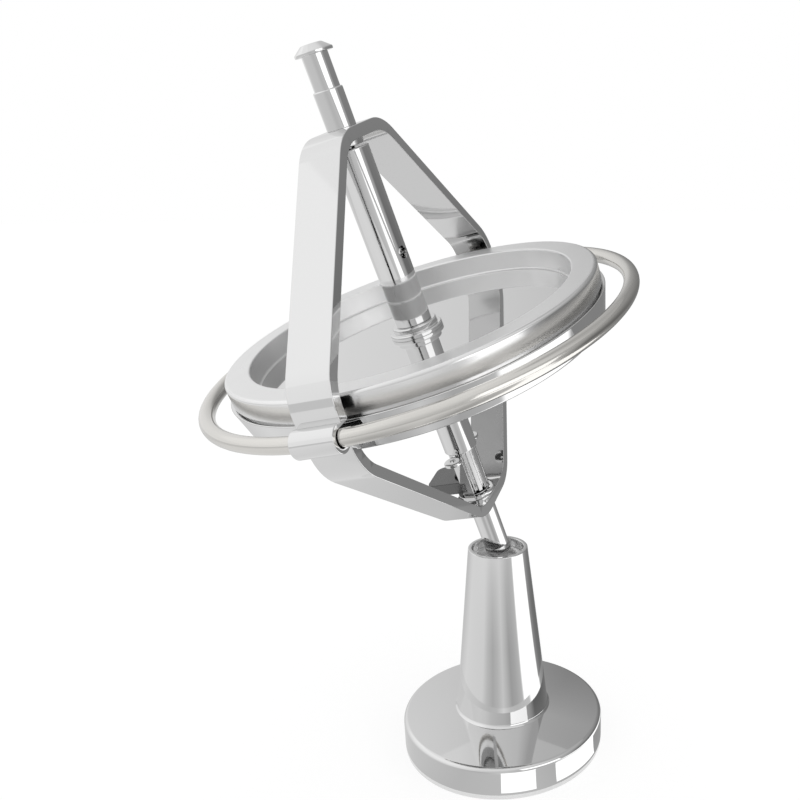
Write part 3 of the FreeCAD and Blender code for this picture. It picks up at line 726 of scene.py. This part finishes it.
GUIDE_RADIUS = 2.9
GUIDE_BORE = 2.5
GUIDE_FOOT = -27.0
GUIDE_TOP = -19.05
FOOT_RING_HEIGHT = 0.6
FOOT_RING_ROUND = 0.1
POST_HALF_WIDTH = 0.85
POST_ROUND = 0.1
POST_SINK = 0.05
POST_END_ROUND = 0.02
EAR_RADIUS = 1.4
EAR_OFFSET = 3.9
EAR_THICKNESS = 0.5
EAR_HOLE = 0.4
EAR_EDGE_ROUND = 0.08
foot_ring = [circle(0, 0, GUIDE_RADIUS, steps=64), circle(0, 0, BUSH_RADIUS + HAIR, steps=48)]
sheet_parts = [cut_from_strip(foot_ring, GUIDE_FOOT, GUIDE_FOOT + FOOT_RING_HEIGHT, FOOT_RING_ROUND)]
for way in (-1, 1):
    post = rounded([
        (way * GUIDE_BORE, -POST_HALF_WIDTH, POST_ROUND),
        (way * GUIDE_BORE, POST_HALF_WIDTH, POST_ROUND),
        (way * GUIDE_RADIUS, POST_HALF_WIDTH, POST_ROUND),
        (way * GUIDE_RADIUS, -POST_HALF_WIDTH, POST_ROUND),
    ], closed=True)
    sheet_parts.append(cut_from_strip([post], GUIDE_FOOT + POST_SINK, GUIDE_TOP - POST_END_ROUND,
                                      POST_END_ROUND))
    ear = [circle(way * EAR_OFFSET, 0, EAR_RADIUS, steps=48), circle(way * EAR_OFFSET, 0, EAR_HOLE, steps=20)]
    sheet_parts.append(cut_from_strip(ear, GUIDE_TOP - EAR_THICKNESS, GUIDE_TOP, EAR_EDGE_ROUND))

# The tongue is drawn 0.7 mm deeper than its solid, so that less white shows under it.
TONGUE_HALF_WIDTH = 2.9
TONGUE_REACH = 6.6
TONGUE_CORNER_ROUND = 1.2
TONGUE_EDGE_ROUND = 0.12
TONGUE_UNDERSIDE = GUIDE_FOOT + 1.6
TONGUE_TOP = GUIDE_FOOT + 3.5
BORE_STEPS = 16
tongue_bore = []
for step in range(BORE_STEPS + 1):
    angle = math.pi * step / BORE_STEPS
    tongue_bore.append((GUIDE_BORE * math.cos(angle), GUIDE_BORE * math.sin(angle)))
tongue = rounded([
    (TONGUE_HALF_WIDTH, 0),
    (TONGUE_HALF_WIDTH, TONGUE_REACH, TONGUE_CORNER_ROUND),
    (-TONGUE_HALF_WIDTH, TONGUE_REACH, TONGUE_CORNER_ROUND),
    (-TONGUE_HALF_WIDTH, 0),
    *reversed(tongue_bore),
], closed=True)
sheet_parts.append(cut_from_strip([tongue], TONGUE_UNDERSIDE, TONGUE_TOP, TONGUE_EDGE_ROUND))
guide = bmesh.new()
mesh = bpy.data.meshes.new("guide_sheet")
for part in sheet_parts:
    part.to_mesh(mesh)
    part.free()
    guide.from_mesh(mesh)
guide_piece = shaped("eared_strip_guide", guide, GYRO, "frame", gyro_chrome, "strip_guide")
# Spring steel left as hardened, without plate: dark grey with a soft sheen.
NEAR_TONGUE = 0.1
dark_steel = chrome_plate("unplated_dark_spring_steel", "#6E6E6E", 0.26, 0.35, 0.05, GYRO)
second_finish(guide_piece, dark_steel, GYRO, lambda spot, normal: (
    spot.y > POST_HALF_WIDTH and TONGUE_UNDERSIDE - NEAR_TONGUE < spot.z < TONGUE_TOP + NEAR_TONGUE))

# Flywheel disc
# Steel plate with a tapering skirt below it and a narrow ledge under the rim, turned in one
# piece and clamped on the axle between the hub collar and the nut.
AXLE_RADIUS = 0.8
PLATE_TOP = 0.5
PLATE_UNDERSIDE = -1.1
LEDGE_RADIUS = 27.5
LEDGE_ROUND = 0.12
SKIRT_RADIUS = 26.4
SKIRT_FOOT = -4.0
SKIRT_ROUND = 0.4
SKIRT_BORE = 22.8
SKIRT_BORE_ROUND = 0.3
disc = turned(rounded([
    (AXLE_RADIUS, PLATE_UNDERSIDE),
    (AXLE_RADIUS, PLATE_TOP),
    (LEDGE_RADIUS, PLATE_TOP, LEDGE_ROUND),
    (SKIRT_RADIUS, SKIRT_FOOT, SKIRT_ROUND),
    (SKIRT_BORE, SKIRT_FOOT, SKIRT_BORE_ROUND),
    (SKIRT_BORE, PLATE_UNDERSIDE, SKIRT_BORE_ROUND),
    (AXLE_RADIUS, PLATE_UNDERSIDE),
]), sides=224)
# Lapped flat and plated: the clearest mirror of all, in which hub and legs stand upside down.
mirror_plate = chrome_plate("mirror_polished_plate", "#DEDEDE", 0.03, 0.6, 0.01, GYRO)
disc_piece = shaped("flywheel_disc", disc, GYRO, "rotor", mirror_plate, "rotor_disc")
# The underside is left as it came from the lathe: mid grey and satin, finely ringed.
FACES_DOWN = -0.5
turned_underside = chrome_plate("turned_underside", "#BEBEBE", 0.3, 0.35, 0.05, GYRO)
second_finish(disc_piece, turned_underside, GYRO, lambda spot, normal: normal.z < FACES_DOWN)

# Flywheel rim
# Heavy flat-topped steel ring with a rebate under its outer edge, pressed on the disc, faced on
# the lathe and plated, its outer edge well rounded.
RIM_RADIUS = 27.07
RIM_TOP = 3.64
RIM_EDGE_ROUND = 0.55
RIM_UNDER_ROUND = 0.1
REBATE_RADIUS = 26.62
REBATE_TOP = 0.8
RIM_BORE = 23.4
RIM_BORE_ROUND = 0.3
RIM_BORE_FLARE = 23.08
rim = turned(rounded([
    (REBATE_RADIUS, PLATE_TOP),
    (REBATE_RADIUS, REBATE_TOP),
    (RIM_RADIUS, REBATE_TOP, RIM_UNDER_ROUND),
    (RIM_RADIUS, RIM_TOP, RIM_EDGE_ROUND),
    (RIM_BORE, RIM_TOP, RIM_BORE_ROUND),
    (RIM_BORE, PLATE_TOP, RIM_BORE_ROUND),
    (RIM_BORE_FLARE, PLATE_TOP),
    (REBATE_RADIUS, PLATE_TOP),
]), sides=224)
# Plate over a faced surface is bright but satin: highlights spread into soft white bands.
rim_chrome = chrome_plate("faced_and_plated_rim", "#E8E8E8", 0.32, 0.45, 0.02, GYRO)
rim_piece = shaped("flywheel_rim", rim, GYRO, "rotor", rim_chrome, "rotor_rim")
# The outer side is polished with a cloth on the lathe: narrower, brighter streaks round it.
SIDE_FROM = 26.5
FACES_UP = 0.9
polished_side = chrome_plate("polished_rim_side", "#E8E8E8", 0.19, 0.45, 0.01, GYRO)
second_finish(rim_piece, polished_side, GYRO, lambda spot, normal: (
    spot.xy.length > SIDE_FROM and abs(normal.z) < FACES_UP))

# Rotor axle
# Thin rod of ground steel with a hardened point at each end, running through both sleeves. It
# hardly shows, so the CAD solid stays and only takes its finish.
nodes["rotor_axle"].data.materials.clear()
nodes["rotor_axle"].data.materials.append(plain_steel)

# Upper sleeve
# Plain turned tube, chrome plated, that slides over the axle and stands on the hub collar. One
# small hole is drilled across it and countersunk a little.


def drilled(blank, drill):
    """The first solid less the second."""
    holders = []
    for part in (blank, drill):
        mesh = bpy.data.meshes.new("blank")
        part.to_mesh(mesh)
        part.free()
        holders.append(bpy.data.objects.new("blank", mesh))
        bpy.context.collection.objects.link(holders[-1])
    cut = holders[0].modifiers.new("cut", "BOOLEAN")
    cut.operation = "DIFFERENCE"
    cut.object = holders[1]
    left_over = bmesh.new()
    left_over.from_object(holders[0], bpy.context.evaluated_depsgraph_get())
    for holder in holders:
        bpy.data.objects.remove(holder)
    return left_over


SLEEVE_RADIUS = 2.55
SLEEVE_FOOT = 1.95
SLEEVE_TOP = 26.0
SLEEVE_ROUND = 0.18
HOLE_RADIUS = 0.8
HOLE_FROM = 0.5
HOLE_HEIGHT = 11.85
HOLE_TURN = -13.4
MOUTH_RADIUS = 0.95
MOUTH_FROM = 2.45
MOUTH_TO = 2.7
sleeve = turned(rounded([
    (AXLE_RADIUS, SLEEVE_FOOT),
    (SLEEVE_RADIUS, SLEEVE_FOOT, SLEEVE_ROUND),
    (SLEEVE_RADIUS, SLEEVE_TOP, SLEEVE_ROUND),
    (AXLE_RADIUS, SLEEVE_TOP),
    (AXLE_RADIUS, SLEEVE_FOOT),
]), sides=96)
drill = turned([
    (0, HOLE_FROM),
    (HOLE_RADIUS, HOLE_FROM),
    (HOLE_RADIUS, MOUTH_FROM),
    (MOUTH_RADIUS, MOUTH_TO),
    (0, MOUTH_TO),
], sides=48)
bmesh.ops.rotate(drill, matrix=Matrix.Rotation(math.radians(90), 3, "X"), verts=drill.verts)
bmesh.ops.rotate(drill, matrix=Matrix.Rotation(math.radians(HOLE_TURN), 3, "Z"), verts=drill.verts)
bmesh.ops.translate(drill, vec=(0, 0, HOLE_HEIGHT), verts=drill.verts)
sleeve = drilled(sleeve, drill)
shaped("upper_sleeve_tube", sleeve, GYRO, "rotor", gyro_chrome, "upper_sleeve")

# Hub collar
# Turned collar with a wide flange and a step, chrome plated, pressed on the axle over the disc.
# The disc is clamped against its flange, and the upper sleeve stands on its neck.
FLANGE_RADIUS = 3.8
FLANGE_TOP = 1.15
FLANGE_SEAT_ROUND = 0.05
FLANGE_ROUND = 0.2
NECK_RADIUS = 3.2
NECK_FILLET = 0.1
collar = turned(rounded([
    (AXLE_RADIUS, PLATE_TOP),
    (FLANGE_RADIUS, PLATE_TOP, FLANGE_SEAT_ROUND),
    (FLANGE_RADIUS, FLANGE_TOP, FLANGE_ROUND),
    (NECK_RADIUS, FLANGE_TOP, NECK_FILLET),
    (NECK_RADIUS, SLEEVE_FOOT, FLANGE_ROUND),
    (AXLE_RADIUS, SLEEVE_FOOT),
    (AXLE_RADIUS, PLATE_TOP),
]), sides=96)
shaped("hub_collar_ring", collar, GYRO, "rotor", gyro_chrome, "hub_collar")

# Lower sleeve
# Turned tube of the same thickness as the upper one, chrome plated, on the axle between the nut
# and the drive pinion.
LOWER_SLEEVE_FOOT = -18.9
LOWER_SLEEVE_TOP = -2.6
LOWER_FOOT_ROUND = 0.15
LOWER_TOP_ROUND = 0.1
lower = turned(rounded([
    (AXLE_RADIUS, LOWER_SLEEVE_FOOT),
    (SLEEVE_RADIUS, LOWER_SLEEVE_FOOT, LOWER_FOOT_ROUND),
    (SLEEVE_RADIUS, LOWER_SLEEVE_TOP, LOWER_TOP_ROUND),
    (AXLE_RADIUS, LOWER_SLEEVE_TOP),
    (AXLE_RADIUS, LOWER_SLEEVE_FOOT),
]), sides=96)
shaped("lower_sleeve_tube", lower, GYRO, "rotor", gyro_chrome, "lower_sleeve")

# Hub nut
# Plain hexagonal steel nut, its edges chamfered, screwed on the axle under the disc. It clamps
# the disc to the hub collar.
NUT_ACROSS_FLATS = 5.5
NUT_CORNER_ROUND = 0.15
NUT_EDGE_ROUND = 0.2
nut_corner = NUT_ACROSS_FLATS / math.sqrt(3)
hexagon = []
for side in range(6):
    angle = math.radians(60 * side)
    hexagon.append((nut_corner * math.cos(angle), nut_corner * math.sin(angle), NUT_CORNER_ROUND))
axle_bore = circle(0, 0, AXLE_RADIUS, steps=32)
nut = cut_from_strip([rounded(hexagon, closed=True), axle_bore], LOWER_SLEEVE_TOP, PLATE_UNDERSIDE,
                     NUT_EDGE_ROUND)
shaped("hexagon_nut", nut, GYRO, "rotor", plain_steel, "hub_nut", slot="plain_steel")

# Drive pinion
# Long pinion with twelve teeth, hobbed from steel rod and pressed on the axle's lower end. The
# toothed pull strip drives it.
TEETH = 12
TIP_RADIUS = 2.2
ROOT_RADIUS = 1.7
GAP_HALF_AT_ROOT = 0.15
GAP_HALF_AT_TIP = 0.28
TOOTH_ROUND = 0.04
PINION_FOOT = -26.0
PINION_EDGE_ROUND = 0.08
root_turn = math.asin(GAP_HALF_AT_ROOT / ROOT_RADIUS)
tip_turn = math.asin(GAP_HALF_AT_TIP / TIP_RADIUS)
gear = []
for gap in range(TEETH):
    middle = 2 * math.pi * gap / TEETH
    next_tip_turn = 2 * math.pi / TEETH - tip_turn
    for radius, turn in ((ROOT_RADIUS, -root_turn), (ROOT_RADIUS, root_turn),
                         (TIP_RADIUS, tip_turn), (TIP_RADIUS, next_tip_turn)):
        gear.append((radius * math.cos(middle + turn), radius * math.sin(middle + turn), TOOTH_ROUND))
pinion = cut_from_strip([rounded(gear, closed=True), axle_bore], PINION_FOOT, LOWER_SLEEVE_FOOT,
                        PINION_EDGE_ROUND)
# Freshly cut steel is the brightest bare finish: light flanks with a thin bright line per tooth.
bright_steel = chrome_plate("bright_hobbed_steel", "#ECECEC", 0.1, 0.35, 0.02, GYRO)
shaped("long_drive_pinion", pinion, GYRO, "rotor", bright_steel, "drive_pinion", slot="plain_steel")
